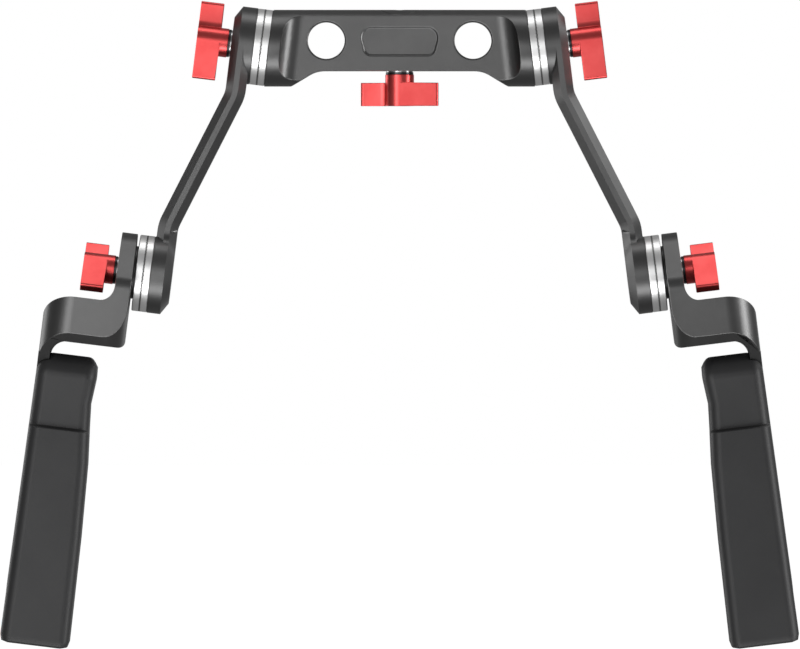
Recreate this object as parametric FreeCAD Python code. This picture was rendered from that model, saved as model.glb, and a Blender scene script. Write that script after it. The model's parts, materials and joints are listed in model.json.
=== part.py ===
"""Front handgrip set for a shoulder rig, in millimetres.

The origin lies midway between the two rod bores. +X is to the operator's
right as seen from the front, +Y runs back along the rods, +Z is up.
Each side is drawn once in its own frame and mirrored for the other side.
A side frame has x outward along the rosette axes, y along the rods and
z downward along the arm. Its zero is the centre of the upper rosette joint.
"""
import FreeCAD, Part
import math
import os

V = FreeCAD.Vector

# Rod clamp block
rod_spacing = 60.0
rod_diameter = 15.0
rod_clearance = 0.10
bore_chamfer = 0.5
block_axis_drop = 3.1
block_depth = 17.0
block_bottom = -12.45
block_relief_half = 34.0
block_relief_slope = 10.4
block_end_width = 4.9
block_wall_lean = 0.3
block_wall_root_round = 8.2
block_relief_round = 12.0
side_tilt = 7.0
end_face_reach = 53.5

# Recessed badge field on the front of the block, left blank
field_top_width = 33.0
field_bottom_width = 27.0
field_height = 10.8
field_centre_z = -0.4
field_depth = 0.7
field_draft = 0.7
field_upper_round = 4.0
field_lower_round = 2.5

# Toothed rosettes
rosette_diameter = 31.2
rosette_thickness = 3.15
rosette_teeth = 60
tooth_height = 0.83
tooth_inner_radius = 10.8
rosette_rim_round = 0.45
rosette_margin = 0.1
mesh_gap = 0.22
recess_depth = 0.35
seat_screw_circle = 7.3
seat_screw_count = 4
seat_screw_radius = 1.25
seat_screw_head_radius = 2.5
seat_screw_length = 7.0
seat_screw_play = 0.05
seat_screw_rise = 0.02
seat_screw_socket_radius = 1.1
seat_screw_socket_depth = 1.0
seat_screw_tip_space = 1.8

# Clamping knobs
thread_radius = 3.0
thread_clearance = 0.15
thread_grip = 8.0
thread_tip_space = 3.0
lower_knob_turn = 43.0
washer_radius = 5.4
washer_thickness = 0.5
flange_radius = 5.65
flange_thickness = 0.9
hub_radius = 5.9
hub_height = 12.9
wing_start = 3.4
wing_half_length = 15.9
wing_blade = 4.0
wing_tip_round = 1.1
wing_root_round = 2.2
wing_root_set = 2.0
spline_teeth = 12
spline_radius = 3.1
spline_depth = 0.45
spline_clearance = 0.12
cavity_radius = 4.45
cavity_floor = 2.6
spline_lead = 0.3
shaft_height = 8.1
shaft_clearance = 0.05
spring_wire = 0.5
spring_turns = 4
spring_clearance = 0.12
cap_screw_clearance = 0.45
cap_screw_head = 2.4
cap_screw_shank = 1.5
cap_screw_length = 4.5
cap_screw_play = 0.05
cap_screw_tip_space = 0.5
cap_screw_socket_radius = 2.0
cap_screw_socket_depth = 1.5

# Offset arms
arm_drop = 97.7
arm_offset = 36.3
arm_depth_shift = 10.0
upper_head = 9.1
lower_head = 8.5
head_chamfer_axial = 3.0
head_chamfer_radial = 4.7
bar_thickness = 8.2
bar_slant_start = 20.6
bar_slant_rise = 20.7
bar_bend_radius = 14.0
head_cove_radius = 6.0

# Grip brackets
ear_gap = 1.05
ear_thickness = 6.4
seat_radius = 10.8
nose_reach = 26.8
nose_top = 4.6
nose_bottom = 27.7
nose_round = 8.0
shelf_front_top = 12.7
shelf_slope = 0.68
shelf_bottom = 31.4
shelf_back_top = 24.8
shelf_back = 9.0
shelf_ear_fillet = 5.5
ear_corner_round = 9.2
ear_foot_round = 2.6
spine_outer = 38.4
spine_lean = 1.5
spine_thickness = 4.7
spine_corner_round = 12.4
spine_inner_fillet = 6.0
spine_front = 11.0
spine_turn_round = 5.0
spine_back = 9.0
spine_end = 136.0
spine_end_round = 9.0

# Grips
grip_top = 36.6
grip_bottom = 156.0
grip_inner_top = 14.6
grip_inner_bottom = 11.7
grip_front = 18.5
grip_back = 17.5
grip_scoop_depth = 2.2
grip_scoop_start = 44.5
grip_scoop_end = 66.5
grip_edge_chamfer = 3.2
grip_fit = 0.15
grip_screw_positions = (58.0, 118.0)
grip_screw_radius = 2.0
grip_screw_head_radius = 3.6
grip_screw_head = 2.0
grip_screw_length = 14.0
grip_screw_sink = 2.2
grip_screw_play = 0.1
grip_screw_socket_radius = 1.5
grip_screw_socket_depth = 1.3
grip_screw_pilot_play = 0.05
grip_screw_tip_space = 2.0

# Rod locking gear inside the block
pocket_side_play = 1.5
pocket_play = 0.6
plug_margin = 0.15
plug_thickness = 3.0
wedge_angle = 15.0
wedge_height = 8.0
wedge_wall = 0.4
wedge_half_depth = 5.4
wedge_travel = 2.0
pin_radius = 3.9
pin_clearance = 0.10
pin_setback = 0.20
gear_gap = 0.06
plug_play = 0.05
plug_socket_radius = 2.0
plug_socket_depth = 1.6

# Length by which a cutting tool runs past the metal
tool_reach = 60.0

# Derived sizes
tilt = math.radians(side_tilt)
bore_radius = rod_diameter / 2 + rod_clearance / 2
half_depth = block_depth / 2
block_radius = rosette_diameter / 2 + rosette_margin
block_wall_foot = end_face_reach - block_end_width
head_radius = rosette_diameter / 2 + rosette_margin
bar_slant_end = arm_drop - bar_slant_rise
spine_turn = nose_bottom + nose_reach - spine_front
outward = V(-math.cos(tilt), 0, math.sin(tilt))
joint_centre = V(-end_face_reach, 0, -block_axis_drop) + outward * rosette_thickness
ear_inner = rosette_thickness + ear_gap
ear_outer = ear_inner + ear_thickness
neck = washer_thickness + flange_thickness
shaft_radius = thread_radius - thread_clearance
clear_radius = thread_radius + thread_clearance
wing_height = hub_height - wing_start
pocket_floor = -(wedge_height / 2 + wedge_travel + pocket_play)
wedge_lean = wedge_height / 2 * math.tan(math.radians(wedge_angle))
wedge_half = clear_radius + wedge_wall + wedge_lean
pocket_half = wedge_half + wedge_lean + pocket_side_play
plug_radius = math.hypot(wedge_half + wedge_lean, wedge_half_depth) + plug_margin
cap_screw_radius = cavity_radius - cap_screw_clearance
seat_bore_depth = thread_grip + thread_tip_space
screw_head_face = -(tooth_height / 2 + recess_depth + mesh_gap / 2)
seat_pilot_depth = seat_screw_length - screw_head_face - rosette_thickness + seat_screw_tip_space
tooth_pitch_angle = 360.0 / rosette_teeth


def arc_corner(before, corner, after, radius):
    """Return the two tangent points and the middle point of a rounded corner."""
    to_before = (before - corner).normalize()
    to_after = (after - corner).normalize()
    half_angle = to_before.getAngle(to_after) / 2
    reach = radius / math.tan(half_angle)
    bisector = (to_before + to_after).normalize()
    centre = corner + bisector * (radius / math.sin(half_angle))
    middle = centre - bisector * radius
    return corner + to_before * reach, middle, corner + to_after * reach


def is_straight(points, index):
    """Tell whether the outline runs straight on through a point."""
    to_before = points[index - 1] - points[index]
    to_after = points[(index + 1) % len(points)] - points[index]
    return to_before.getAngle(to_after) > math.pi - 0.002


def rounded_edges(points, radii, closed=True):
    """Join points with straight edges and put a tangent arc at each rounded corner."""
    count = len(points)
    pieces = []
    ends = []
    for index in range(count):
        is_end = not closed and index in (0, count - 1)
        if radii[index] > 0 and not is_end and not is_straight(points, index):
            start, middle, finish = arc_corner(
                points[index - 1], points[index], points[(index + 1) % count], radii[index]
            )
            ends.append((start, finish))
            pieces.append(Part.Arc(start, middle, finish).toShape())
        else:
            ends.append((points[index], points[index]))
            pieces.append(None)
    edges = []
    for index in range(count):
        if pieces[index]:
            edges.append(pieces[index])
        if index == count - 1 and not closed:
            break
        start = ends[index][1]
        finish = ends[(index + 1) % count][0]
        if start.distanceToPoint(finish) > 1e-6:
            edges.append(Part.makeLine(start, finish))
    return edges


def outline(points, radii=None):
    """Make a closed wire."""
    return Part.Wire(rounded_edges(points, radii or [0] * len(points)))


def prism(points, direction, radii=None):
    """Extrude a closed outline along a vector."""
    return Part.Face(outline(points, radii)).extrude(direction)


def cylinder_x(radius, start, length, y=0.0, z=0.0):
    """Make a cylinder along +X."""
    return Part.makeCylinder(radius, length, V(start, y, z), V(1, 0, 0))


def cone_x(radius_a, radius_b, start, length, y=0.0, z=0.0):
    """Make a cone along +X."""
    return Part.makeCone(radius_a, radius_b, length, V(start, y, z), V(1, 0, 0))


def seat_screw_places():
    """List the screw centres round a rosette as (y, z) pairs."""
    places = []
    for index in range(seat_screw_count):
        angle = math.radians(45 + 360.0 / seat_screw_count * index)
        places.append((seat_screw_circle * math.cos(angle), seat_screw_circle * math.sin(angle)))
    return places


def toothed_fan(radius, phase):
    """Make a solid of flat tooth flanks that meet at one point, facing +X, pitch plane at x = 0."""
    reach = radius * 1.1
    rise = tooth_height / 2 * reach / radius
    floor = -rosette_thickness
    hub = V(0, 0, 0)
    base = V(floor, 0, 0)
    tops = []
    feet = []
    for index in range(2 * rosette_teeth):
        angle = math.radians(tooth_pitch_angle * index / 2 + phase)
        height = rise if index % 2 == 0 else -rise
        y = reach * math.cos(angle)
        z = reach * math.sin(angle)
        tops.append(V(height, y, z))
        feet.append(V(floor, y, z))
    faces = []
    for index in range(2 * rosette_teeth):
        after = (index + 1) % (2 * rosette_teeth)
        faces.append(Part.Face(Part.makePolygon([hub, tops[index], tops[after], hub])))
        faces.append(Part.Face(Part.makePolygon([base, feet[after], feet[index], base])))
        side = [tops[index], feet[index], feet[after], tops[after], tops[index]]
        faces.append(Part.Face(Part.makePolygon(side)))
    solid = Part.makeSolid(Part.makeShell(faces))
    if solid.Volume < 0:
        solid.reverse()
    return solid


def rosette(phase, hole_radius):
    """Make a toothed disc that faces +X. Its back is at x = -thickness - half gap."""
    radius = rosette_diameter / 2
    lift = -mesh_gap / 2
    back = -rosette_thickness - lift
    blank = cylinder_x(radius, back, tooth_height / 2 - back)
    rims = [edge for edge in blank.Edges if isinstance(edge.Curve, Part.Circle)]
    blank = blank.makeFillet(rosette_rim_round, rims)
    disc = toothed_fan(radius, phase).common(blank)
    recess_floor = -tooth_height / 2 - recess_depth
    disc = disc.cut(cylinder_x(tooth_inner_radius, recess_floor, 5))
    disc = disc.cut(cylinder_x(hole_radius, -10, 20))
    for y, z in seat_screw_places():
        clear = seat_screw_radius + 2 * seat_screw_play
        sink = seat_screw_head_radius - seat_screw_radius
        disc = disc.cut(cylinder_x(clear, -10, 20, y, z))
        mouth = seat_screw_head_radius + 2 * seat_screw_play
        disc = disc.cut(cone_x(clear, mouth, recess_floor - sink, sink, y, z))
    disc.translate(V(lift, 0, 0))
    return disc


def seat_screws():
    """Make the countersunk screws of one rosette that faces +X."""
    screws = []
    sink = seat_screw_head_radius - seat_screw_radius
    for y, z in seat_screw_places():
        seat = screw_head_face - sink - seat_screw_rise
        head = cone_x(seat_screw_radius, seat_screw_head_radius, seat, sink, y, z)
        tip = screw_head_face - seat_screw_length
        shank = cylinder_x(seat_screw_radius, tip, seat_screw_length - sink, y, z)
        floor = screw_head_face - seat_screw_socket_depth
        socket = cylinder_x(seat_screw_socket_radius, floor, 2 * seat_screw_socket_depth, y, z)
        screws.append(head.fuse(shank).cut(socket).removeSplitter())
    return screws


def seat_screw_pilots(face):
    """Make the holes for the screws in a seat whose face is at x = face, facing +X."""
    holes = []
    for y, z in seat_screw_places():
        start = face - seat_pilot_depth
        holes.append(cylinder_x(seat_screw_radius + seat_screw_play, start, seat_pilot_depth + 1, y, z))
    return holes


def turn_over(shape, centre_x=0.0):
    """Turn a shape half a turn about the vertical line through (centre_x, 0)."""
    turned = shape.copy()
    turned.rotate(V(centre_x, 0, 0), V(0, 0, 1), 180)
    return turned


def place_side(shape):
    """Move a shape from the side frame to the left of the rig."""
    down = V(-math.sin(tilt), 0, -math.cos(tilt))
    matrix = FreeCAD.Matrix(
        outward.x, 0, down.x, joint_centre.x,
        outward.y, 1, down.y, joint_centre.y,
        outward.z, 0, down.z, joint_centre.z,
        0, 0, 0, 1,
    )
    return shape.transformed(matrix, copy=True)


def mirror_side(shape):
    """Mirror a shape to the other side of the rig."""
    return shape.mirror(V(0, 0, 0), V(1, 0, 0))


def save(name, *shapes):
    """Write one node from one or more separate solids."""
    solids = []
    for shape in shapes:
        solids += shape.Solids
    result = solids[0] if len(solids) == 1 else Part.makeCompound(solids)
    result.exportStep("parts/" + name + ".step")
    return result


def spline_star(radius, start, length):
    """Make a splined shaft or hole along +X."""
    points = []
    for index in range(2 * spline_teeth):
        angle = math.pi / spline_teeth * index
        reach = radius if index % 2 == 0 else radius - spline_depth
        points.append(V(start, reach * math.cos(angle), reach * math.sin(angle)))
    return prism(points, V(length, 0, 0))


def knob_washer():
    """Make the thrust washer, from x = 0."""
    ring = cylinder_x(washer_radius, 0, washer_thickness)
    return ring.cut(cylinder_x(clear_radius, -1, washer_thickness + 2))


def knob_stud(thread_end):
    """Make the stud: thread down to x = -thread_end, flange, splined drive end."""
    flange = cylinder_x(flange_radius, washer_thickness, flange_thickness)
    thread = cylinder_x(shaft_radius, -thread_end, thread_end + washer_thickness)
    drive = spline_star(spline_radius, neck, cavity_floor - spline_lead)
    shaft = cylinder_x(spline_radius - spline_depth - shaft_clearance, neck, shaft_height)
    hole_depth = cap_screw_length + cap_screw_tip_space
    tapped = cylinder_x(cap_screw_shank + cap_screw_play, neck + shaft_height - hole_depth, hole_depth + 1)
    return flange.fuse([thread, drive, shaft]).cut(tapped).removeSplitter()


def knob_cap_screw():
    """Make the screw that keeps the wing and its spring on the stud."""
    start = neck + shaft_height
    head = cylinder_x(cap_screw_radius, start, cap_screw_head)
    shank = cylinder_x(cap_screw_shank, start - cap_screw_length, cap_screw_length)
    floor = start + cap_screw_head - cap_screw_socket_depth
    socket = spline_star(cap_screw_socket_radius, floor, 2 * cap_screw_socket_depth)
    return head.fuse(shank).cut(socket).removeSplitter()


def knob_spring():
    """Make the helical return spring between the cavity floor and the screw head."""
    bottom = neck + cavity_floor + spring_clearance + spring_wire / 2
    top = neck + shaft_height - spring_clearance - spring_wire / 2
    radius = (cavity_radius + spline_radius) / 2
    pitch = (top - bottom) / spring_turns
    helix = Part.makeLongHelix(pitch, top - bottom, radius)
    profile = Part.Wire(Part.Circle(V(radius, 0, 0), V(0, 1, 0), spring_wire / 2).toShape())
    coil = helix.makePipeShell([profile], True, True)
    coil.rotate(V(0, 0, 0), V(0, 1, 0), 90)
    coil.translate(V(bottom, 0, 0))
    return coil


def knob_wing():
    """Make the two-bladed wing and its hub, blades along z."""
    hub = cylinder_x(hub_radius, neck, hub_height)
    inner = hub_radius - wing_blade
    blade_points = [
        V(neck + wing_start, -hub_radius, 0),
        V(neck + wing_start, -hub_radius, wing_half_length),
        V(neck + wing_start, -inner, wing_half_length),
        V(neck + wing_start, -inner, 0),
    ]
    blade = prism(blade_points, V(wing_height, 0, 0), [0, wing_tip_round, wing_tip_round, 0])
    root_points = [
        V(neck + wing_start, -inner, hub_radius - wing_root_set),
        V(neck + wing_start, -inner, hub_radius + wing_root_round),
        V(neck + wing_start, inner - wing_root_round, hub_radius - wing_root_set),
    ]
    root = prism(root_points, V(wing_height, 0, 0))
    half = blade.fuse(root)
    other = half.copy()
    other.rotate(V(0, 0, 0), V(1, 0, 0), 180)
    wing = hub.fuse([half, other]).removeSplitter()
    wing = wing.cut(cylinder_x(cavity_radius, neck + cavity_floor, hub_height))
    wing = wing.cut(spline_star(spline_radius + spline_clearance, neck - 1, cavity_floor + 2))
    return wing


def knob_pieces(seat_x, y, z, thread_end, turn_angle):
    """Make all pieces of one knob on a seat at x = seat_x, by name."""
    pieces = {
        "washer": knob_washer(),
        "stud": knob_stud(thread_end),
        "spring": knob_spring(),
        "cap_screw": knob_cap_screw(),
        "wing": knob_wing(),
    }
    for piece in pieces.values():
        piece.rotate(V(0, 0, 0), V(1, 0, 0), turn_angle)
        piece.translate(V(seat_x, y, z))
    return pieces


def clamp_block():
    """Make the clamp block with its bores, end seats, badge field and gear pocket."""
    reach = end_face_reach + 20
    body = cylinder_x(block_radius, -reach, 2 * reach, 0, -block_axis_drop)
    down = V(-math.sin(tilt), 0, -math.cos(tilt))
    for side in (-1, 1):
        axis = V(side * math.cos(tilt), 0, math.sin(tilt))
        corner = V(side * end_face_reach, 0, -block_axis_drop)
        cap = Part.makeCylinder(3 * block_radius, tool_reach, corner, axis)
        body = body.cut(cap)
    low = -block_axis_drop - block_radius - 1
    high = block_radius
    shift = math.tan(tilt)
    foot = block_wall_foot - shift * (low + block_axis_drop)
    beyond = 1.3
    wall_y = half_depth + beyond * (block_radius - half_depth)
    for side in (-1, 1):
        slant = V(-side * shift * (high - low), 0, high - low)
        for face in (-1, 1):
            points = [
                V(0, face * half_depth, low),
                V(side * foot, face * half_depth, low),
                V(side * (foot + beyond * block_wall_lean), face * wall_y, low),
                V(0, face * wall_y, low),
            ]
            body = body.cut(prism(points, slant, [0, block_wall_root_round, 0, 0]))
    relief = [
        V(-block_relief_half - block_relief_slope - 2, -40, low - 2),
        V(-block_relief_half - block_relief_slope, -40, -block_axis_drop - block_radius),
        V(-block_relief_half, -40, block_bottom),
        V(block_relief_half, -40, block_bottom),
        V(block_relief_half + block_relief_slope, -40, -block_axis_drop - block_radius),
        V(block_relief_half + block_relief_slope + 2, -40, low - 2),
    ]
    body = body.cut(prism(relief, V(0, 80, 0), [0, 0, block_relief_round, block_relief_round, 0, 0]))
    for side in (-1, 1):
        x = side * rod_spacing / 2
        body = body.cut(Part.makeCylinder(bore_radius, tool_reach, V(x, -tool_reach / 2, 0), V(0, 1, 0)))
        for face in (-1, 1):
            mouth = Part.makeCone(
                bore_radius, bore_radius + 2 * bore_chamfer, 2 * bore_chamfer,
                V(x, face * (half_depth - bore_chamfer), 0), V(0, face, 0),
            )
            body = body.cut(mouth)
    body = body.cut(badge_field())
    return body.cut(block_cavities())


def field_outline(y, grow):
    """Make the outline of the badge field at a depth, grown on every side."""
    top = field_centre_z + field_height / 2 + grow
    bottom = field_centre_z - field_height / 2 - grow
    points = [
        V(-field_top_width / 2 - grow, y, top),
        V(field_top_width / 2 + grow, y, top),
        V(field_bottom_width / 2 + grow, y, bottom),
        V(-field_bottom_width / 2 - grow, y, bottom),
    ]
    upper = field_upper_round + grow
    lower = field_lower_round + grow
    return outline(points, [upper, upper, lower, lower])


def badge_field():
    """Make the shallow blank recess on the front of the block, with sloping walls."""
    outside = 0.2
    mouth = field_outline(-half_depth - outside, field_draft * (1 + outside / field_depth))
    floor = field_outline(-half_depth + field_depth, 0)
    return Part.makeLoft([mouth, floor], True, True)


def block_cavities():
    """Make the pocket, plug seat, pin holes, stud hole and seat screw holes as one tool."""
    roof = block_radius - block_axis_drop
    pocket = Part.makeBox(
        2 * pocket_half, 2 * (wedge_half_depth + gear_gap), roof - pocket_floor,
        V(-pocket_half, -wedge_half_depth - gear_gap, pocket_floor),
    )
    # the pocket stays within the plug's circle, so that the plug closes it and the nut passes through
    pocket = pocket.common(Part.makeCylinder(plug_radius, tool_reach, V(0, 0, pocket_floor)))
    plug_hole = Part.makeCylinder(plug_radius, 10, V(0, 0, roof - plug_thickness))
    stud_hole = Part.makeCylinder(clear_radius, 20, V(0, 0, block_bottom - 1))
    pin_hole = cylinder_x(pin_radius + pin_clearance, -rod_spacing / 2, rod_spacing)
    tools = [plug_hole, stud_hole, pin_hole]
    stud_bore = cylinder_x(clear_radius, -seat_bore_depth, seat_bore_depth + 1)
    for side in (-1, 1):
        for pilot in seat_screw_pilots(0.0) + [stud_bore]:
            moved = pilot.copy()
            moved.translate(V(-rosette_thickness, 0, 0))
            moved = place_side(moved)
            tools.append(moved if side < 0 else mirror_side(moved))
    return pocket.fuse(tools)


def pocket_plug():
    """Make the plug that closes the gear pocket, trimmed to the round top of the block."""
    roof = block_radius - block_axis_drop
    disc = Part.makeCylinder(plug_radius - plug_play, plug_thickness + 2, V(0, 0, roof - plug_thickness))
    socket = Part.makeCylinder(plug_socket_radius, 10, V(0, 0, roof - plug_socket_depth))
    skin = cylinder_x(block_radius, -rod_spacing / 2, rod_spacing, 0, -block_axis_drop)
    return disc.common(skin).cut(socket)


def wedge_nut():
    """Make the nut that the rod knob draws down between the push pins."""
    low = -wedge_height / 2
    high = wedge_height / 2
    points = [
        V(-wedge_half + wedge_lean, -wedge_half_depth, low),
        V(wedge_half - wedge_lean, -wedge_half_depth, low),
        V(wedge_half + wedge_lean, -wedge_half_depth, high),
        V(-wedge_half - wedge_lean, -wedge_half_depth, high),
    ]
    nut = prism(points, V(0, 2 * wedge_half_depth, 0))
    return nut.cut(Part.makeCylinder(clear_radius, 30, V(0, 0, -15)))


def push_pin():
    """Make the right-hand push pin, sloped to the wedge inside and flush with the bore outside."""
    tip = rod_spacing / 2 - bore_radius - pin_setback
    pin = cylinder_x(pin_radius, 0, tip)
    slope = math.tan(math.radians(wedge_angle))
    gap = gear_gap / math.cos(math.radians(wedge_angle))
    points = [
        V(-20, -10, -10),
        V(wedge_half + gap - 10 * slope, -10, -10),
        V(wedge_half + gap + 10 * slope, -10, 10),
        V(-20, -10, 10),
    ]
    return pin.cut(prism(points, V(0, 20, 0)))


def arm_head(centre_y, centre_z, seat_x, face_x):
    """Make a round arm head between its rosette seat and its chamfered far face."""
    length = abs(face_x - seat_x)
    sense = 1 if face_x > seat_x else -1
    axis = V(sense, 0, 0)
    rim = Part.makeCylinder(head_radius, length - head_chamfer_axial, V(seat_x, centre_y, centre_z), axis)
    cone = Part.makeCone(
        head_radius, head_radius - head_chamfer_radial, head_chamfer_axial,
        V(face_x - sense * head_chamfer_axial, centre_y, centre_z), axis,
    )
    return rim.fuse(cone)


def arm_cove(centre_y, centre_z, face_x, sense, way):
    """Make the concave blend between an arm head and the bar face that it stands proud of.

    The head's chamfered face is at face_x and looks along sense times +X. way is 1 where the head
    stands proud at the back and the bar runs to greater z, and -1 for the other end.
    """
    bar_y = -arm_depth_shift / 2 + way * (head_radius - arm_depth_shift / 2)
    hollow_y = bar_y + way * head_cove_radius
    reach = head_radius + head_cove_radius
    hollow_z = centre_z + way * math.sqrt(reach ** 2 - (hollow_y - centre_y) ** 2)
    share = head_radius / reach
    touch_y = centre_y + (hollow_y - centre_y) * share
    touch_z = centre_z + (hollow_z - centre_z) * share
    inside_y = bar_y - way * head_chamfer_radial
    inside_share = (inside_y - centre_y) / (touch_y - centre_y)
    near_x = face_x - sense * bar_thickness
    points = [
        V(near_x, inside_y, hollow_z),
        V(near_x, hollow_y, hollow_z),
        V(near_x, touch_y, touch_z),
        V(near_x, inside_y, centre_z + (touch_z - centre_z) * inside_share),
    ]
    filling = prism(points, V(sense * bar_thickness, 0, 0))
    axis = V(sense, 0, 0)
    hollow = V(near_x, hollow_y, hollow_z)
    wide = head_cove_radius + head_chamfer_radial
    rise = head_chamfer_axial
    tools = [
        Part.makeCylinder(head_cove_radius, bar_thickness + 2, hollow - axis, axis),
        Part.makeCone(wide, head_cove_radius, rise, hollow, axis),
        Part.makeCone(head_cove_radius, wide, rise, hollow + axis * (bar_thickness - rise), axis),
    ]
    return filling.cut(tools)


def arm():
    """Make the offset arm: an eight-sided bar on an S path with a round head at each end."""
    upper_face = rosette_thickness + upper_head
    lower_face = arm_offset - rosette_thickness - lower_head
    upper_line = upper_face - bar_thickness / 2
    lower_line = lower_face + bar_thickness / 2
    mid_y = -arm_depth_shift / 2
    path_points = [
        V(upper_line, mid_y, 0),
        V(upper_line, mid_y, bar_slant_start),
        V(lower_line, mid_y, bar_slant_end),
        V(lower_line, mid_y, arm_drop),
    ]
    path = Part.Wire(rounded_edges(path_points, [0, bar_bend_radius, bar_bend_radius, 0], False))
    half_y = head_radius - arm_depth_shift / 2
    half_x = bar_thickness / 2
    cut_x = half_x - head_chamfer_axial
    cut_y = half_y - head_chamfer_radial
    corners = (
        (-half_x, -cut_y), (-cut_x, -half_y), (cut_x, -half_y), (half_x, -cut_y),
        (half_x, cut_y), (cut_x, half_y), (-cut_x, half_y), (-half_x, cut_y),
    )
    section = outline([V(upper_line + x, mid_y + y, 0) for x, y in corners])
    bar = path.makePipeShell([section], True, True)
    upper = arm_head(0, 0, rosette_thickness, upper_face)
    lower = arm_head(-arm_depth_shift, arm_drop, arm_offset - rosette_thickness, lower_face)
    upper_cove = arm_cove(0, 0, upper_face, 1, 1)
    lower_cove = arm_cove(-arm_depth_shift, arm_drop, lower_face, -1, -1)
    solid = bar.fuse([upper, lower, upper_cove, lower_cove]).removeSplitter()
    solid = solid.cut(cylinder_x(clear_radius, -5, 30))
    solid = solid.cut(cylinder_x(clear_radius, lower_face - 5, 30, -arm_depth_shift, arm_drop))
    for pilot in seat_screw_pilots(0.0):
        upper_pilot = turn_over(pilot)
        upper_pilot.translate(V(rosette_thickness, 0, 0))
        solid = solid.cut(upper_pilot)
        pilot.translate(V(arm_offset - rosette_thickness, -arm_depth_shift, arm_drop))
        solid = solid.cut(pilot)
    return solid


def bracket_side_view():
    """Make the side outline of the bracket as a solid across its whole width."""
    slant = head_radius * math.sqrt(0.5)
    width = V(spine_outer + 10, 0, 0)
    front = -nose_reach
    drop = shelf_bottom - nose_bottom
    foot = front + drop
    points = [
        V(0, -slant, -slant),
        V(0, front, nose_top),
        V(0, front, nose_bottom),
        V(0, foot, shelf_bottom),
        V(0, shelf_back, shelf_bottom),
        V(0, head_radius, slant),
        V(0, head_radius, 0),
        V(0, 0, 0),
    ]
    plate = prism(points, width, [0, nose_round, 0, 0, 4.0, 6.0, 0, 0])
    return plate.fuse(cylinder_x(head_radius, 0, spine_outer + 10))


def grip_bracket():
    """Make the bracket: ear, shelf with its raised nose, and the spine that carries the grip."""
    body = bracket_side_view()
    body = body.cut(Part.makeBox(ear_inner, 2 * tool_reach, 2 * tool_reach, V(0, -tool_reach, -tool_reach)))
    body = body.cut(space_over_shelf())
    body = body.fuse(spine_plate())
    body = body.cut([outer_trim(), ear_corner_tool(), ear_foot_tool()]).removeSplitter()
    body = body.fuse(cylinder_x(seat_radius, rosette_thickness, ear_gap + 0.5))
    body = body.cut(cylinder_x(clear_radius, 0, 30))
    for pilot in seat_screw_pilots(0.0):
        turned = turn_over(pilot)
        turned.translate(V(rosette_thickness, 0, 0))
        body = body.cut(turned)
    for place in grip_screw_positions:
        sink_floor = spine_face(place) - grip_screw_sink
        body = body.cut(cylinder_x(grip_screw_radius + grip_screw_play, 20, 30, 0, place))
        body = body.cut(cylinder_x(grip_screw_head_radius + grip_screw_play, sink_floor, 10, 0, place))
    return body


def space_over_shelf():
    """Make the open space above the shelf, rounded where it meets the ear."""
    flat_y = -nose_reach + (shelf_back_top - shelf_front_top) / shelf_slope
    beyond = 30.0
    points = [
        V(ear_outer, -nose_reach - beyond, shelf_front_top - beyond * shelf_slope),
        V(ear_outer, flat_y, shelf_back_top),
        V(ear_outer, tool_reach, shelf_back_top),
        V(ear_outer, tool_reach, -tool_reach),
        V(ear_outer, -nose_reach - beyond, -tool_reach),
    ]
    space = prism(points, V(tool_reach, 0, 0), [0, 8.0, 0, 0, 0])
    low_edges = []
    for edge in space.Edges:
        box = edge.BoundBox
        flush = box.XLength < 1e-6 and abs(box.XMin - ear_outer) < 1e-6
        if flush and box.ZMin > -tool_reach + 1 and box.YMin < tool_reach - 1:
            low_edges.append(edge)
    return space.makeFillet(shelf_ear_fillet, low_edges)


def spine_face(z):
    """Give the x of the spine's outer face at a height z."""
    share = max(0.0, z - grip_top) / (spine_end - grip_top)
    return spine_outer + spine_lean * share


def spine_plate():
    """Make the spine with its fillet under the shelf and its sloping front edge."""
    inner = spine_outer - spine_thickness
    inner_end = spine_face(spine_end) - spine_thickness
    profile = [
        V(inner - 14, 0, shelf_bottom - 2),
        V(inner - 14, 0, shelf_bottom),
        V(inner, 0, shelf_bottom),
        V(inner, 0, grip_top),
        V(inner_end, 0, spine_end),
        V(spine_face(spine_end), 0, spine_end),
        V(spine_outer, 0, grip_top),
        V(spine_outer, 0, shelf_bottom - 2),
    ]
    radii = [0, 0, spine_inner_fillet, 0, 0, 0, 0, 0]
    for point in profile:
        point.y = -tool_reach
    plate = prism(profile, V(0, 2 * tool_reach, 0), radii)
    side = [
        V(0, -nose_reach, nose_bottom),
        V(0, -spine_front, spine_turn),
        V(0, -spine_front, spine_end),
        V(0, spine_back, spine_end),
        V(0, spine_back, shelf_bottom - 8),
        V(0, -nose_reach, shelf_bottom - 8),
    ]
    view = prism(side, V(80, 0, 0), [0, spine_turn_round, spine_end_round, spine_end_round, 0, 0])
    return plate.common(view)


def outer_trim():
    """Make the tool that rounds the front outer corner and trims past the spine's outer face."""
    start = spine_outer - spine_corner_round
    block = [
        V(start, -nose_reach - 10, -tool_reach),
        V(start, -nose_reach, -tool_reach),
        V(spine_outer, -nose_reach, -tool_reach),
        V(spine_outer, tool_reach, -tool_reach),
        V(spine_outer + 30, tool_reach, -tool_reach),
        V(spine_outer + 30, -nose_reach - 10, -tool_reach),
    ]
    return prism(block, V(0, 0, tool_reach + grip_top), [0, 0, spine_corner_round, 0, 0, 0])


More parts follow.
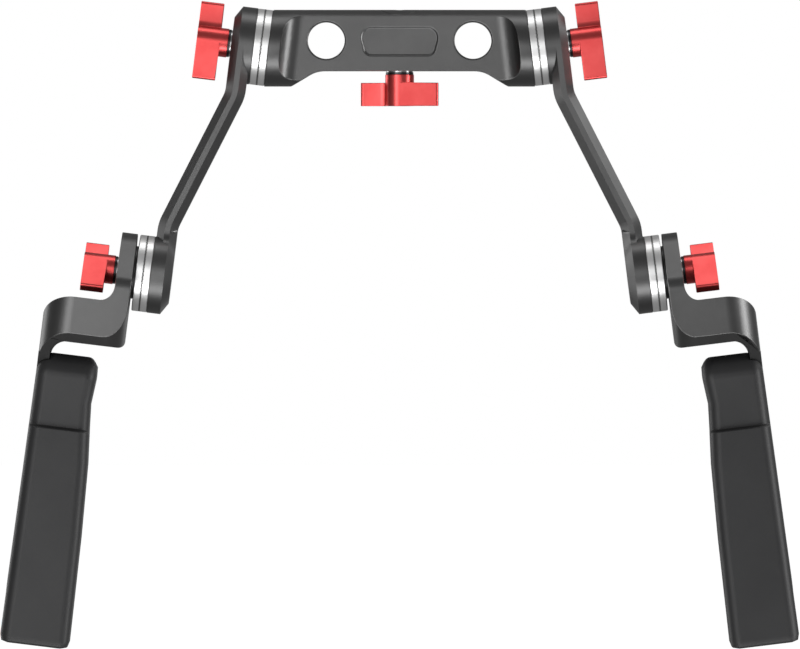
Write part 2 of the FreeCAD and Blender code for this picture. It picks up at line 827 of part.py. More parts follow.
def ear_corner_tool():
    """Make the tool that rounds the corner of the ear's inner face and the sloping lower front."""
    inward = V(0, math.sqrt(0.5), -math.sqrt(0.5))
    along = V(0, math.sqrt(0.5), math.sqrt(0.5))
    across = V(1, 0, 0)
    radius = ear_corner_round
    outside = 6.0
    start = V(ear_inner, -nose_reach, nose_bottom) - along * 30
    points = [
        start - across * outside - inward * outside,
        start + across * radius - inward * outside,
        start + across * radius + inward * radius,
        start - across * outside + inward * radius,
    ]
    drum = Part.makeCylinder(radius, 90, start + (across + inward) * radius - along * 5, along)
    return prism(points, along * 70).cut(drum)


def ear_foot_tool():
    """Make the tool that rounds the ear's lower inner corner from front to back."""
    radius = ear_foot_round
    outside = 3.0
    box = Part.makeBox(
        radius + outside, 2 * tool_reach, radius + outside,
        V(ear_inner - outside, -tool_reach, shelf_bottom - radius),
    )
    drum = Part.makeCylinder(radius, 140, V(ear_inner + radius, -70, shelf_bottom - radius), V(0, 1, 0))
    return box.cut(drum)


def grip_side_view():
    """Make the side outline of the grip as a wide solid."""
    scoop_middle = (grip_scoop_start + grip_scoop_end) / 2
    points = [
        V(0, -grip_front + 2.0, grip_top),
        V(0, -grip_front + 0.6, grip_scoop_start - 3.5),
        V(0, -grip_front + grip_scoop_depth, scoop_middle),
        V(0, -grip_front + 0.9, grip_scoop_end),
        V(0, -grip_front, grip_scoop_end + 30),
        V(0, -grip_front, grip_bottom),
        V(0, grip_back, grip_bottom),
        V(0, grip_back - 1.5, grip_scoop_end),
        V(0, grip_back - 2.5, grip_top + 9.0),
        V(0, grip_back - 6.0, grip_top),
    ]
    radii = [4.0, 4.0, 30.0, 3.0, 60.0, 0, 0, 60.0, 8.0, 5.0]
    return prism(points, V(80, 0, 0), radii)


def grip_front_view():
    """Make the front outline of the grip as a deep solid."""
    middle = (grip_scoop_start + grip_scoop_end) / 2
    base = -tool_reach
    points = [
        V(grip_inner_top + 1.5, base, grip_top),
        V(grip_inner_top - 0.9, base, grip_top + 5.0),
        V(grip_inner_top + 0.7, base, middle),
        V(grip_inner_top + 0.2, base, grip_scoop_end - 5),
        V(grip_inner_bottom + 0.6, base, grip_scoop_end + 25),
        V(grip_inner_bottom, base, grip_bottom),
        V(spine_face(grip_bottom), base, grip_bottom),
        V(spine_outer, base, grip_top),
    ]
    radii = [2.5, 3.0, 25.0, 25.0, 60.0, 0, 0, 3.5]
    return prism(points, V(0, 2 * tool_reach, 0), radii)


def grip_shell():
    """Make the moulded grip with chamfered long edges and a slot for the spine."""
    body = grip_side_view().common(grip_front_view())
    chamfer = grip_edge_chamfer
    for side, corner_y in ((1, -grip_front), (1, grip_back), (-1, -grip_front), (-1, grip_back)):
        sense_y = 1 if corner_y > 0 else -1
        x = spine_face(grip_bottom) if side > 0 else grip_inner_bottom
        reach = chamfer + 1.6
        points = [
            V(x - side * reach, corner_y + sense_y * 4, grip_top - 5),
            V(x + side * 4, corner_y - sense_y * reach, grip_top - 5),
            V(x + side * 8, corner_y + sense_y * 8, grip_top - 5),
        ]
        body = body.cut(prism(points, V(0, 0, grip_bottom)))
    body = body.cut(bottom_chamfer())
    fit = grip_fit
    slot_top = grip_top - 10
    front = -spine_front - fit
    turn = spine_turn + fit * (math.sqrt(2) - 1)
    slot = [
        V(0, front - (turn - slot_top), slot_top),
        V(0, front, turn),
        V(0, front, spine_end + fit),
        V(0, spine_back + fit, spine_end + fit),
        V(0, spine_back + fit, slot_top),
    ]
    slot = prism(slot, V(80, 0, 0), [0, spine_turn_round - fit, spine_end_round, spine_end_round, 0])
    inner = spine_outer - spine_thickness - fit
    inner_end = spine_face(spine_end) - spine_thickness - fit
    wall = [
        V(inner, -tool_reach, grip_top - 12),
        V(inner, -tool_reach, grip_top),
        V(inner_end, -tool_reach, spine_end + 5),
        V(80, -tool_reach, spine_end + 5),
        V(80, -tool_reach, grip_top - 12),
    ]
    body = body.cut(slot.common(prism(wall, V(0, 2 * tool_reach, 0))))
    for place in grip_screw_positions:
        hole_end = spine_face(place) - grip_screw_sink - grip_screw_length - grip_screw_tip_space
        pilot = grip_screw_radius + grip_screw_pilot_play
        body = body.cut(cylinder_x(pilot, hole_end, 30, 0, place))
    return body


def bottom_chamfer():
    """Make the tool that chamfers the four lower edges of the grip."""
    size = grip_edge_chamfer
    x0 = grip_inner_bottom
    x1 = spine_face(grip_bottom)
    low = grip_bottom
    outer = Part.makeBox(x1 - x0 + 20, 80, size + 2, V(x0 - 10, -40, low - size))
    top = outline([
        V(x0 - 0.01, -grip_front - 0.01, low - size - 0.01),
        V(x1 + 0.01, -grip_front - 0.01, low - size - 0.01),
        V(x1 + 0.01, grip_back + 0.01, low - size - 0.01),
        V(x0 - 0.01, grip_back + 0.01, low - size - 0.01),
    ])
    bottom = outline([
        V(x0 + size, -grip_front + size, low + 0.01),
        V(x1 - size, -grip_front + size, low + 0.01),
        V(x1 - size, grip_back - size, low + 0.01),
        V(x0 + size, grip_back - size, low + 0.01),
    ])
    return outer.cut(Part.makeLoft([top, bottom], True, True))


def grip_screws():
    """Make the two screws that hold the grip to the spine."""
    screws = []
    for place in grip_screw_positions:
        seat = spine_face(place) - grip_screw_sink
        head = cylinder_x(grip_screw_head_radius, seat, grip_screw_head, 0, place)
        shank = cylinder_x(grip_screw_radius, seat - grip_screw_length, grip_screw_length, 0, place)
        floor = seat + grip_screw_head - grip_screw_socket_depth
        socket = cylinder_x(grip_screw_socket_radius, floor, 2 * grip_screw_socket_depth, 0, place)
        screws.append(head.fuse(shank).cut(socket).removeSplitter())
    return screws


def at_lower_joint(shape):
    """Move a shape from the upper joint's place to the lower joint's."""
    moved = shape.copy()
    moved.translate(V(arm_offset, -arm_depth_shift, arm_drop))
    return moved


def side_nodes():
    """Make every node of one side in the side frame, by name."""
    nodes = {}
    nodes["block_rosette"] = [rosette(0, clear_radius)]
    nodes["arm"] = [arm()]
    facing_in = turn_over(rosette(tooth_pitch_angle / 2, clear_radius))
    nodes["arm_upper_rosette"] = [facing_in]
    nodes["arm_lower_rosette"] = [at_lower_joint(rosette(0, clear_radius))]
    upper_screws = [turn_over(screw) for screw in seat_screws()]
    lower_screws = [at_lower_joint(screw) for screw in seat_screws()]
    nodes["arm_rosette_screws"] = upper_screws + lower_screws
    nodes["grip_rosette"] = [at_lower_joint(facing_in)]
    nodes["grip_rosette_screws"] = [at_lower_joint(turn_over(screw)) for screw in seat_screws()]
    nodes["grip_bracket"] = [at_lower_joint(grip_bracket())]
    nodes["grip_shell"] = [at_lower_joint(grip_shell())]
    nodes["grip_screws"] = [at_lower_joint(screw) for screw in grip_screws()]
    upper_seat = rosette_thickness + upper_head
    upper = knob_pieces(upper_seat, 0, 0, upper_seat + thread_grip, 0)
    for name, piece in upper.items():
        nodes["upper_knob_" + name] = [piece]
    lower_seat_x = arm_offset + ear_outer
    lower = knob_pieces(lower_seat_x, -arm_depth_shift, arm_drop, ear_outer + thread_grip, lower_knob_turn)
    for name, piece in lower.items():
        nodes["lower_knob_" + name] = [piece]
    return nodes


def rod_knob():
    """Make the pieces of the rod knob, hanging from the bottom of the block."""
    turned = {}
    for name, piece in knob_pieces(0, 0, 0, -block_bottom + wedge_height / 2, 0).items():
        piece.rotate(V(0, 0, 0), V(0, 1, 0), 90)
        piece.translate(V(0, 0, block_bottom))
        turned[name] = piece
    return turned


def main():
    os.makedirs("parts", exist_ok=True)
    save("clamp_block", clamp_block())
    save("pocket_plug", pocket_plug())
    save("wedge_nut", wedge_nut())
    save("right_push_pin", push_pin())
    save("left_push_pin", mirror_side(push_pin()))
    for name, piece in rod_knob().items():
        save("rod_knob_" + name, piece)
    block_screws = [place_side(screw) for screw in seat_screws()]
    save("block_rosette_screws", *block_screws, *[mirror_side(screw) for screw in block_screws])
    for name, shapes in side_nodes().items():
        placed = [place_side(shape) for shape in shapes]
        save("left_" + name, *placed)
        save("right_" + name, *[mirror_side(shape) for shape in placed])


main()
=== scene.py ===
# Front handgrip set for a shoulder rig: finishes, moulded grips, studio and camera.
# Metres throughout, in the same frame as the CAD. +X right, -Y towards the viewer, +Z up.
import bpy
import bmesh
import json
import math
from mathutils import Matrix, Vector


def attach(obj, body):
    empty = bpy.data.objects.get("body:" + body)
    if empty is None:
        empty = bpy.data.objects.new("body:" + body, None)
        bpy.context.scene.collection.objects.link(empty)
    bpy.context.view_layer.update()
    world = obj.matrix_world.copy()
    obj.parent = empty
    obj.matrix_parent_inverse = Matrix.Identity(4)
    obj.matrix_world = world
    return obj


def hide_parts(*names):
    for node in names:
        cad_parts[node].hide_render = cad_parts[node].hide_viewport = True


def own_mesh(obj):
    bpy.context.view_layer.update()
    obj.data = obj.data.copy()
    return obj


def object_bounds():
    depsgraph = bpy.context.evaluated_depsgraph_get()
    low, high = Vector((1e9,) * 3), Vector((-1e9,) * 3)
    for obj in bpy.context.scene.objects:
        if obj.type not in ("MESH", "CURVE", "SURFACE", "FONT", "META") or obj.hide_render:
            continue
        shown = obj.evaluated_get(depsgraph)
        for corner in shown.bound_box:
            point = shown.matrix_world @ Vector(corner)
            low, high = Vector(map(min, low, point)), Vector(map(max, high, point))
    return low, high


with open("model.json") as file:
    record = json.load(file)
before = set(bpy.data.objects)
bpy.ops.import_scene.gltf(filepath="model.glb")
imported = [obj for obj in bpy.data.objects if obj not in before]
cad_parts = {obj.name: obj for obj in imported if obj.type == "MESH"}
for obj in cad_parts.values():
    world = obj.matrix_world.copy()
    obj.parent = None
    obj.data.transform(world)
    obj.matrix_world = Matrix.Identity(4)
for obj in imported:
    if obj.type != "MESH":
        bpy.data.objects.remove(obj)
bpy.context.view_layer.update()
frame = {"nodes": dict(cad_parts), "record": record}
nodes = frame["nodes"]
print("frame loaded:", len(nodes), "nodes")


def deselectAll():
    bpy.ops.object.select_all(action="DESELECT")


def workOn(piece):
    deselectAll()
    piece.select_set(True)
    bpy.context.view_layer.objects.active = piece
    bpy.ops.object.mode_set(mode="EDIT")


def leaveEdit():
    bpy.ops.object.mode_set(mode="OBJECT")


def pickVerts(piece, test):
    bpy.ops.mesh.select_mode(type="VERT")
    bpy.ops.mesh.select_all(action="DESELECT")
    shape = bmesh.from_edit_mesh(piece.data)
    for vert in shape.verts:
        vert.select_set(test(vert.co))
    shape.select_flush_mode()
    bmesh.update_edit_mesh(piece.data)


def pickEdges(piece, test):
    bpy.ops.mesh.select_mode(type="EDGE")
    bpy.ops.mesh.select_all(action="DESELECT")
    shape = bmesh.from_edit_mesh(piece.data)
    for edge in shape.edges:
        edge.select_set(test(edge.verts[0].co, edge.verts[1].co))
    bmesh.update_edit_mesh(piece.data)


def applyModifier(piece, kind, **settings):
    modifier = piece.modifiers.new(kind.lower(), kind)
    for key, value in settings.items():
        setattr(modifier, key, value)
    deselectAll()
    piece.select_set(True)
    bpy.context.view_layer.objects.active = piece
    bpy.ops.object.modifier_apply(modifier=modifier.name)


def pickSharpEdges(piece, sharpest, smallestFace):
    # edges between two real faces that meet at an angle, leaving out the slivers of the tessellation
    bpy.ops.mesh.select_mode(type="EDGE")
    bpy.ops.mesh.select_all(action="DESELECT")
    shape = bmesh.from_edit_mesh(piece.data)
    for edge in shape.edges:
        if len(edge.link_faces) == 2:
            area = min(face.calc_area() for face in edge.link_faces)
            edge.select_set(area > smallestFace and edge.calc_face_angle(0.0) > sharpest)
    bmesh.update_edit_mesh(piece.data)


def smoothFaces(piece, angle):
    deselectAll()
    piece.select_set(True)
    bpy.context.view_layer.objects.active = piece
    bpy.ops.object.shade_smooth_by_angle(angle=math.radians(angle))
    applyModifier(piece, "WEIGHTED_NORMAL", keep_sharp=True, weight=80)


softening = {
    "weld": 0.000002,
    "flatWithin": 0.5,  # degrees
    "sharpFrom": 26,
    "smallestFace": 0.00000002,  # square metres
    "smoothUpTo": 30,
}


def softenedCopy(nodeName, edgeWidth):
    # the CAD shape with its sharp edges rounded, as a part has after tumbling and blasting
    mesh = nodes[nodeName].data.copy()
    piece = bpy.data.objects.new(nodeName + "_finished", mesh)
    bpy.context.scene.collection.objects.link(piece)
    workOn(piece)
    bpy.ops.mesh.customdata_custom_splitnormals_clear()
    bpy.ops.mesh.select_mode(type="VERT")
    bpy.ops.mesh.select_all(action="SELECT")
    bpy.ops.mesh.remove_doubles(threshold=softening["weld"])
    bpy.ops.mesh.dissolve_limited(angle_limit=math.radians(softening["flatWithin"]))
    pickSharpEdges(piece, math.radians(softening["sharpFrom"]), softening["smallestFace"])
    bpy.ops.mesh.bevel(offset=edgeWidth, segments=2, profile=0.5, clamp_overlap=False)
    leaveEdit()
    smoothFaces(piece, softening["smoothUpTo"])
    return piece


def newMaterial(name):
    material = bpy.data.materials.new(name)
    material.use_nodes = True
    tree = material.node_tree
    tree.nodes.clear()
    output = tree.nodes.new("ShaderNodeOutputMaterial")
    shader = tree.nodes.new("ShaderNodeBsdfPrincipled")
    tree.links.new(shader.outputs["BSDF"], output.inputs["Surface"])
    return material, tree, shader


def noiseFrom(tree, coords, scale, detail, roughness=0.55):
    noise = tree.nodes.new("ShaderNodeTexNoise")
    noise.inputs["Scale"].default_value = scale
    noise.inputs["Detail"].default_value = detail
    noise.inputs["Roughness"].default_value = roughness
    tree.links.new(coords.outputs["Object"], noise.inputs["Vector"])
    return noise


def rampFrom(tree, source, stops):
    ramp = tree.nodes.new("ShaderNodeValToRGB")
    elements = ramp.color_ramp.elements
    while len(elements) < len(stops):
        elements.new(0.5)
    for element, (place, colour) in zip(elements, stops):
        element.position = place
        element.color = (*colour, 1.0)
    tree.links.new(source, ramp.inputs["Fac"])
    return ramp


def spanFrom(tree, source, low, high):
    span = tree.nodes.new("ShaderNodeMapRange")
    span.inputs["To Min"].default_value = low
    span.inputs["To Max"].default_value = high
    tree.links.new(source, span.inputs["Value"])
    return span


def bumpFrom(tree, shader, height, strength, distance):
    bump = tree.nodes.new("ShaderNodeBump")
    bump.inputs["Strength"].default_value = strength
    bump.inputs["Distance"].default_value = distance
    tree.links.new(height, bump.inputs["Height"])
    tree.links.new(bump.outputs["Normal"], shader.inputs["Normal"])


def blastedMetal(name, settings):
    # bead-blasted and anodised: a fine even grain over a slow drift of tone
    material, tree, shader = newMaterial(name)
    coords = tree.nodes.new("ShaderNodeTexCoord")
    drift = noiseFrom(tree, coords, settings["driftScale"], 3.0)
    grain = noiseFrom(tree, coords, settings["grainScale"], 2.0, 0.6)
    colour = rampFrom(tree, drift.outputs["Fac"], [(0.3, settings["dark"]), (0.7, settings["light"])])
    tree.links.new(colour.outputs["Color"], shader.inputs["Base Color"])
    low, high = settings["roughness"]
    rough = spanFrom(tree, grain.outputs["Fac"], low, high)
    tree.links.new(rough.outputs["Result"], shader.inputs["Roughness"])
    bumpFrom(tree, shader, grain.outputs["Fac"], settings["grainStrength"], settings["grainHeight"])
    shader.inputs["Metallic"].default_value = settings["metallic"]
    return material


# painted shade along the rosette seams: where and how strongly the steel's colour is darkened
seamShade = {
    "lean": 7.0,
    "upperPlane": 0.055874,  # from the frame's origin, along the leaning axis
    "armOffset": 0.0363,  # from the upper joint's plane to the lower one's
    "span": 0.0035,
    "shades": ((0.0, 0.22), (0.06, 0.35), (0.13, 1.0), (0.80, 1.0), (0.88, 0.5), (0.92, 0.3)),
}


def mathFrom(tree, operation, first, second=0.0):
    node = tree.nodes.new("ShaderNodeMath")
    node.operation = operation
    for socket, value in zip(node.inputs, (first, second)):
        if isinstance(value, float):
            socket.default_value = value
        else:
            tree.links.new(value, socket)
    return node.outputs["Value"]


def paintSeamShade(material):
    # painted shade where two discs mesh and where each disc meets its seat: the steel's colour is darkened in
    # thin bands there, standing in for the shade inside the gaps
    tree = material.node_tree
    shader = next(node for node in tree.nodes if node.type == "BSDF_PRINCIPLED")
    plain = shader.inputs["Base Color"].links[0].from_socket
    coords = tree.nodes.new("ShaderNodeTexCoord")
    apart = tree.nodes.new("ShaderNodeSeparateXYZ")
    tree.links.new(coords.outputs["Object"], apart.inputs["Vector"])
    lean = math.radians(seamShade["lean"])
    sideways = mathFrom(tree, "MULTIPLY", mathFrom(tree, "ABSOLUTE", apart.outputs["X"]), math.cos(lean))
    upwards = mathFrom(tree, "MULTIPLY", apart.outputs["Z"], math.sin(lean))
    along = mathFrom(tree, "SUBTRACT", mathFrom(tree, "ADD", sideways, upwards), seamShade["upperPlane"])
    lower = mathFrom(tree, "ABSOLUTE", mathFrom(tree, "SUBTRACT", along, seamShade["armOffset"]))
    nearest = mathFrom(tree, "MINIMUM", mathFrom(tree, "ABSOLUTE", along), lower)
    share = mathFrom(tree, "DIVIDE", nearest, seamShade["span"])
    ramp = rampFrom(tree, share, [(place, (shade, shade, shade)) for place, shade in seamShade["shades"]])
    mixed = tree.nodes.new("ShaderNodeVectorMath")
    mixed.operation = "MULTIPLY"
    tree.links.new(plain, mixed.inputs[0])
    tree.links.new(ramp.outputs["Color"], mixed.inputs[1])
    tree.links.new(mixed.outputs["Vector"], shader.inputs["Base Color"])


blackAnodised = blastedMetal("blackAnodised", {
    "dark": (0.112, 0.112, 0.112),
    "light": (0.130, 0.130, 0.130),
    "driftScale": 60.0,
    "grainScale": 5200.0,
    "grainStrength": 0.10,
    "grainHeight": 0.00004,
    "roughness": (0.34, 0.42),
    "metallic": 1.0,
})
redAnodised = blastedMetal("redAnodised", {
    "dark": (0.76, 0.085, 0.085),
    "light": (0.84, 0.115, 0.112),
    "driftScale": 120.0,
    "grainScale": 5200.0,
    "grainStrength": 0.08,
    "grainHeight": 0.00004,
    "roughness": (0.28, 0.36),
    "metallic": 1.0,
})
turnedSteel = blastedMetal("turnedSteel", {
    "dark": (0.88, 0.88, 0.88),
    "light": (0.97, 0.97, 0.965),
    "driftScale": 90.0,
    "grainScale": 3000.0,
    "grainStrength": 0.06,
    "grainHeight": 0.00003,
    "roughness": (0.34, 0.42),
    "metallic": 1.0,
})
# the rosettes' steel gets painted shade in its seams
paintSeamShade(turnedSteel)
blackOxide = blastedMetal("blackOxide", {
    "dark": (0.045, 0.045, 0.047),
    "light": (0.070, 0.070, 0.072),
    "driftScale": 200.0,
    "grainScale": 3000.0,
    "grainStrength": 0.06,
    "grainHeight": 0.00003,
    "roughness": (0.25, 0.35),
    "metallic": 1.0,
})
platedScrew = blastedMetal("platedScrew", {
    "dark": (0.30, 0.30, 0.31),
    "light": (0.40, 0.40, 0.41),
    "driftScale": 300.0,
    "grainScale": 4000.0,
    "grainStrength": 0.05,
    "grainHeight": 0.00003,
    "roughness": (0.24, 0.34),
    "metallic": 1.0,
})
springWire = blastedMetal("springWire", {
    "dark": (0.50, 0.50, 0.51),
    "light": (0.62, 0.62, 0.62),
    "driftScale": 300.0,
    "grainScale": 4000.0,
    "grainStrength": 0.05,
    "grainHeight": 0.00003,
    "roughness": (0.20, 0.30),
    "metallic": 1.0,
})
turnedBrass = blastedMetal("turnedBrass", {
    "dark": (0.62, 0.43, 0.17),
    "light": (0.72, 0.53, 0.24),
    "driftScale": 150.0,
    "grainScale": 3000.0,
    "grainStrength": 0.06,
    "grainHeight": 0.00003,
    "roughness": (0.24, 0.34),
    "metallic": 1.0,
})


def mouldedPlastic(name, settings):
    # moulded skin: a fine spark-eroded grain in the bump and the gloss
    material, tree, shader = newMaterial(name)
    coords = tree.nodes.new("ShaderNodeTexCoord")
    drift = noiseFrom(tree, coords, settings["driftScale"], 3.0)
    grain = noiseFrom(tree, coords, settings["grainScale"], 3.0, 0.65)
    colour = rampFrom(tree, drift.outputs["Fac"], [(0.3, settings["dark"]), (0.7, settings["light"])])
    tree.links.new(colour.outputs["Color"], shader.inputs["Base Color"])
    low, high = settings["roughness"]
    rough = spanFrom(tree, grain.outputs["Fac"], low, high)
    tree.links.new(rough.outputs["Result"], shader.inputs["Roughness"])
    bumpFrom(tree, shader, grain.outputs["Fac"], settings["grainStrength"], settings["grainHeight"])
    shader.inputs["Specular IOR Level"].default_value = settings["specular"]
    return material


gripSkin = mouldedPlastic("gripSkin", {
    "dark": (0.0155, 0.0155, 0.0163),
    "light": (0.0195, 0.0195, 0.0203),
    "driftScale": 45.0,
    "grainScale": 2600.0,
    "grainStrength": 0.25,
    "grainHeight": 0.00008,
    "roughness": (0.44, 0.54),
    "specular": 0.40,
})
print("materials made")

finishes = (
    ("rosette_screws", platedScrew),
    ("cap_screw", blackOxide),
    ("grip_screws", blackOxide),
    ("rosette", turnedSteel),
    ("wing", redAnodised),
    ("stud", blackOxide),
    ("washer", springWire),
    ("spring", springWire),
    ("wedge", turnedBrass),
    ("push_pin", turnedBrass),
    ("shell", gripSkin),
)
for nodeName, node in nodes.items():
    finish = next((metal for word, metal in finishes if word in nodeName), blackAnodised)
    node.data.materials.clear()
    node.data.materials.append(finish)
print("finishes given to the CAD nodes")

# metal pieces whose edges are softened, with the width of each bevel
softEdges = {
    "clamp_block": 0.00025,
    "grip_bracket": 0.00025,
    "upper_knob_wing": 0.0003,
    "lower_knob_wing": 0.0003,
    "rod_knob_wing": 0.0003,
}
cadBody = {name: body for body, members in frame["record"]["behaviour"]["bodies"].items() for name in members}
for nodeName in sorted(nodes):
    plain = nodeName.replace("left_", "").replace("right_", "")
    if plain not in softEdges:
        continue
    piece = softenedCopy(nodeName, softEdges[plain])
    metal = redAnodised if "wing" in plain else blackAnodised
    piece.data.materials.clear()
    piece.data.materials.append(metal)
    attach(piece, cadBody[nodeName])
    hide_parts(nodeName)
print("metal edges softened")

# each return spring gets a mesh of its own, carried with its knob
for joint in frame["record"]["behaviour"]["joints"]:
    if not joint["name"].endswith("wing_pull"):
        continue
    knobName = joint["name"].replace("wing_pull", "knob")
    nodeName = knobName + "_spring"
    spring = bpy.data.objects.new(nodeName + "_wound", nodes[nodeName].data.copy())
    bpy.context.scene.collection.objects.link(spring)
    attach(spring, knobName)
    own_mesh(spring)
    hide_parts(nodeName)
print("springs wound")

# a row is a depth below the joint's centre and the distance there of the front, inner or outer face
grip = {
    "jointCentre": (-0.1045625, -0.010, -0.0952640),
    "lean": 7.0,
    "top": 0.0366,
    "bottom": 0.156,
    "blank": (0.02, 0.03),  # width and depth of the block that it is shaped from
    "back": 0.0175,
    "backTaper": 0.0025,
    "backTaperRun": 0.03,
    "frontRows": (
        (0.0366, 0.0120), (0.0384, 0.0145), (0.0403, 0.0163), (0.0446, 0.0179), (0.0555, 0.0160),
        (0.0664, 0.0150), (0.0672, 0.0177), (0.0800, 0.0184), (0.1100, 0.0184), (0.1560, 0.0183),
    ),
    "innerRows": (
        (0.0366, 0.0168), (0.0384, 0.0152), (0.0403, 0.0140), (0.0446, 0.0138), (0.0555, 0.0149),
        (0.0664, 0.0142), (0.0672, 0.0141), (0.0800, 0.0131), (0.1100, 0.0122), (0.1560, 0.0117),
    ),
    "outerRows": (
        (0.0366, 0.0340), (0.0384, 0.0363), (0.0403, 0.0377), (0.0446, 0.0383), (0.1560, 0.0400),
    ),
    "longEdge": 0.0044,
    "topEdge": 0.0012,
    "bottomEdge": 0.0032,
    "rowEdges": ((0.0446, 0.0014), (0.0664, 0.0003), (0.0672, 0.0005)),
    "smoothUpTo": 38,
    "spineFace": 0.0384,
    "spineLean": 0.0015,
    "spineFront": 0.0112,
    "spineBack": 0.0092,
    "spineEnd": 0.1363,
    "spineTurn": 0.0437,
    "spineDeep": 0.0050,
    "spineRound": 0.0090,
    "spineOpen": 0.01,  # how far the slot runs past the grip's top
}
near = 0.0001  # two places closer than this are the same


def rowValue(rows, depth):
    for (high, first), (low, second) in zip(rows, rows[1:]):
        if depth <= low:
            return first + (second - first) * max(0.0, depth - high) / (low - high)
    return rows[-1][1]


def makeGrip():
    # x runs inwards from the joint, y as in the frame, z up the lean
    height = grip["bottom"] - grip["top"]
    halfWidth, halfDepth = (size / 2 for size in grip["blank"])
    bpy.ops.mesh.primitive_cube_add(size=1.0, location=(0, 0, 0))
    piece = bpy.context.object
    piece.name = "left_grip"
    workOn(piece)
    bpy.ops.transform.resize(value=(*grip["blank"], height))
    bpy.ops.transform.translate(value=(0, 0, -grip["top"] - height / 2))
    for depth, _ in grip["frontRows"][1:-1]:
        bpy.ops.mesh.select_all(action="SELECT")
        bpy.ops.mesh.bisect(plane_co=(0, 0, -depth), plane_no=(0, 0, 1))
    for depth, front in grip["frontRows"]:
        inner = rowValue(grip["innerRows"], depth)
        pickVerts(piece, lambda co: abs(co.z + depth) < near and co.y < 0)
        bpy.ops.transform.translate(value=(0, halfDepth - front, 0))
        pickVerts(piece, lambda co: abs(co.z + depth) < near and co.y > 0)
        taper = grip["backTaper"] * max(0.0, 1 - (depth - grip["top"]) / grip["backTaperRun"])
        bpy.ops.transform.translate(value=(0, grip["back"] - taper - halfDepth, 0))
        pickVerts(piece, lambda co: abs(co.z + depth) < near and co.x > 0)
        bpy.ops.transform.translate(value=(-halfWidth - inner, 0, 0))
        pickVerts(piece, lambda co: abs(co.z + depth) < near and abs(co.x + halfWidth) < near)
        bpy.ops.transform.translate(value=(halfWidth - rowValue(grip["outerRows"], depth), 0, 0))
    pickEdges(piece, lambda a, b: abs(a.z - b.z) > near)
    bpy.ops.mesh.bevel(offset=grip["longEdge"], segments=6, profile=0.5)
    pickEdges(piece, lambda a, b: max(a.z, b.z) < -grip["bottom"] + near)
    bpy.ops.mesh.bevel(offset=grip["bottomEdge"], segments=2, profile=0.6)
    pickEdges(piece, lambda a, b: min(a.z, b.z) > -grip["top"] - near)
    bpy.ops.mesh.bevel(offset=grip["topEdge"], segments=3, profile=0.5)
    for depth, width in grip["rowEdges"]:
        pickEdges(piece, lambda a, b: abs(a.z + depth) < near and abs(b.z + depth) < near)
        bpy.ops.mesh.bevel(offset=width, segments=3, profile=0.5)
    bpy.ops.mesh.select_all(action="SELECT")
    bpy.ops.mesh.normals_make_consistent(inside=False)
    leaveEdit()
    return piece


def cutSpineSlot(piece):
    bpy.ops.mesh.primitive_cube_add(size=1.0, location=(0, 0, 0))
    cutter = bpy.context.object
    workOn(cutter)
    length = grip["spineEnd"] - grip["top"] + grip["spineOpen"]
    bpy.ops.transform.resize(value=(2 * grip["spineDeep"], grip["spineFront"] + grip["spineBack"], length))
    bpy.ops.transform.translate(value=(
        -grip["spineFace"], (grip["spineBack"] - grip["spineFront"]) / 2, -grip["spineEnd"] + length / 2,
    ))
    bpy.ops.mesh.bisect(plane_co=(0, 0, -grip["spineTurn"]), plane_no=(0, 0, 1))
    top = length - grip["spineEnd"]
    pickVerts(cutter, lambda co: co.z > top - near and co.y < 0)
    bpy.ops.transform.translate(value=(0, -top - grip["spineTurn"], 0))
    pickVerts(cutter, lambda co: co.z < -grip["spineEnd"] / 2)
    bpy.ops.transform.translate(value=(-grip["spineLean"], 0, 0))
    pickEdges(cutter, lambda a, b: max(a.z, b.z) < -grip["spineEnd"] / 2 and abs(a.y - b.y) < near)
    bpy.ops.mesh.bevel(offset=grip["spineRound"], segments=8, profile=0.5)
    leaveEdit()
    applyModifier(piece, "BOOLEAN", object=cutter, operation="DIFFERENCE", solver="EXACT")
    bpy.data.objects.remove(cutter)


def placeGrip(piece):
    piece.rotation_euler = (0, math.radians(grip["lean"]), 0)
    piece.location = grip["jointCentre"]
    deselectAll()
    piece.select_set(True)
    bpy.context.view_layer.objects.active = piece
    bpy.ops.object.transform_apply(location=True, rotation=True, scale=True)


leftGrip = makeGrip()
cutSpineSlot(leftGrip)
placeGrip(leftGrip)
rightGrip = leftGrip.copy()
rightGrip.data = leftGrip.data.copy()
rightGrip.name = "right_grip"
bpy.context.scene.collection.objects.link(rightGrip)
rightGrip.scale = (-1, 1, 1)
deselectAll()
rightGrip.select_set(True)
bpy.context.view_layer.objects.active = rightGrip
bpy.ops.object.transform_apply(location=True, rotation=True, scale=True)
workOn(rightGrip)
bpy.ops.mesh.select_all(action="SELECT")
bpy.ops.mesh.normals_make_consistent(inside=False)
leaveEdit()
for side, piece in (("left", leftGrip), ("right", rightGrip)):
    smoothFaces(piece, grip["smoothUpTo"])
    piece.data.materials.clear()
    piece.data.materials.append(gripSkin)
    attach(piece, side + "_grip")
    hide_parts(side + "_grip_shell")
print("grips moulded")

studio = {
    "floorDrop": 0.045,
    "floorSize": 30.0,
    "floorTone": (0.9, 0.9, 0.9, 1),
    "floorRoughness": 0.9,
    "floorGlow": 0.85,
    "backdrop": 1.0,
    "ambient": 0.2,
    "middle": (0.0, -0.01, -0.12),
}
centre = Vector(studio["middle"])
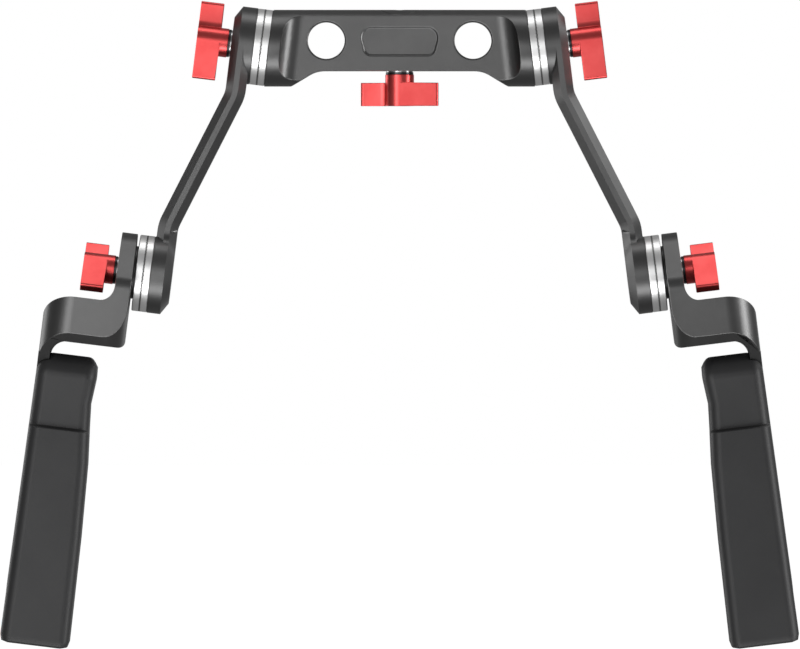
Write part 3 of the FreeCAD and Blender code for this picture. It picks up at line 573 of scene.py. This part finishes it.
# angles in degrees about the middle, distances and sizes in metres
lamps = {
    "overhead": {"azimuth": 0, "elevation": 92, "distance": 0.9, "size": (1.4, 0.34), "glow": 1.75},
    "frontLow": {"azimuth": 0, "elevation": -44, "distance": 1.0, "size": (1.3, 0.42), "glow": 3.9},
    "frontLeft": {"azimuth": -26, "elevation": -2, "distance": 1.0, "size": (0.40, 0.9), "glow": 3.2},
    "farRight": {"azimuth": 77, "elevation": 0, "distance": 1.0, "size": (0.30, 0.9), "glow": 7.4},
    "frontHigh": {"azimuth": 0, "elevation": 8, "distance": 1.1, "size": (0.5, 0.45), "glow": 1.1},
    "backLeft": {"azimuth": -130, "elevation": 0, "distance": 1.2, "size": (0.7, 0.8), "glow": 1.6},
    "backRight": {"azimuth": 158, "elevation": 0, "distance": 1.2, "size": (0.6, 0.8), "glow": 0.35},
    "highRight": {"azimuth": 121, "elevation": 36, "distance": 1.1, "size": (0.5, 0.5), "glow": 2.2},
}


def towards(azimuth, elevation):
    # azimuth 0 is the viewer's side, positive to the right
    turn = math.radians(azimuth)
    lift = math.radians(elevation)
    return Vector((math.sin(turn) * math.cos(lift), -math.cos(turn) * math.cos(lift), math.sin(lift)))


for lampName, lamp in lamps.items():
    width, height = lamp["size"]
    light = bpy.data.lights.new(lampName, "AREA")
    light.shape = "RECTANGLE"
    light.size = width
    light.size_y = height
    light.energy = lamp["glow"] * math.pi * width * height
    holder = bpy.data.objects.new(lampName, light)
    bpy.context.scene.collection.objects.link(holder)
    direction = towards(lamp["azimuth"], lamp["elevation"])
    holder.location = centre + direction * lamp["distance"]
    holder.rotation_euler = direction.to_track_quat("Z", "Y").to_euler()
    holder.visible_camera = False

world = bpy.data.worlds.new("paleStudio")
bpy.context.scene.world = world
world.use_nodes = True
worldTree = world.node_tree
worldTree.nodes.clear()
worldOutput = worldTree.nodes.new("ShaderNodeOutputWorld")
seen = worldTree.nodes.new("ShaderNodeBackground")
seen.inputs["Color"].default_value = (1, 1, 1, 1)
seen.inputs["Strength"].default_value = studio["backdrop"]
around = worldTree.nodes.new("ShaderNodeBackground")
around.inputs["Color"].default_value = (1, 1, 1, 1)
around.inputs["Strength"].default_value = studio["ambient"]
rays = worldTree.nodes.new("ShaderNodeLightPath")
choice = worldTree.nodes.new("ShaderNodeMixShader")
worldTree.links.new(rays.outputs["Is Camera Ray"], choice.inputs["Fac"])
worldTree.links.new(around.outputs["Background"], choice.inputs[1])
worldTree.links.new(seen.outputs["Background"], choice.inputs[2])
worldTree.links.new(choice.outputs["Shader"], worldOutput.inputs["Surface"])

floorMaterial, _, floorShader = newMaterial("paleFloor")
floorShader.inputs["Base Color"].default_value = studio["floorTone"]
floorShader.inputs["Roughness"].default_value = studio["floorRoughness"]
floorShader.inputs["Emission Color"].default_value = (1, 1, 1, 1)
floorShader.inputs["Emission Strength"].default_value = studio["floorGlow"]
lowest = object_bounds()[0].z
bpy.ops.mesh.primitive_plane_add(size=studio["floorSize"], location=(0, 0, lowest - studio["floorDrop"]))
floor = bpy.context.object
floor.name = "floor"
floor.data.materials.append(floorMaterial)
floor.visible_glossy = False
floor.visible_diffuse = False
floor.visible_shadow = False
print("studio lit")

# a very long lens, far off, looking level and straight along the rods
view = {
    "lens": 800.0,
    "sensor": 36.0,
    "width": 0.3272,
    "middle": (0.00015, -0.1161),
    "clipEnd": 100.0,
}
cameraData = bpy.data.cameras.new("camera")
cameraData.lens = view["lens"]
cameraData.sensor_width = view["sensor"]
cameraData.clip_end = view["clipEnd"]
camera = bpy.data.objects.new("camera", cameraData)
bpy.context.scene.collection.objects.link(camera)
across, height = view["middle"]
camera.location = (across, -view["width"] * view["lens"] / view["sensor"], height)
camera.rotation_euler = (math.pi / 2, 0, 0)
bpy.context.scene.camera = camera
bpy.context.scene.view_settings.view_transform = "Standard"
print("camera set")
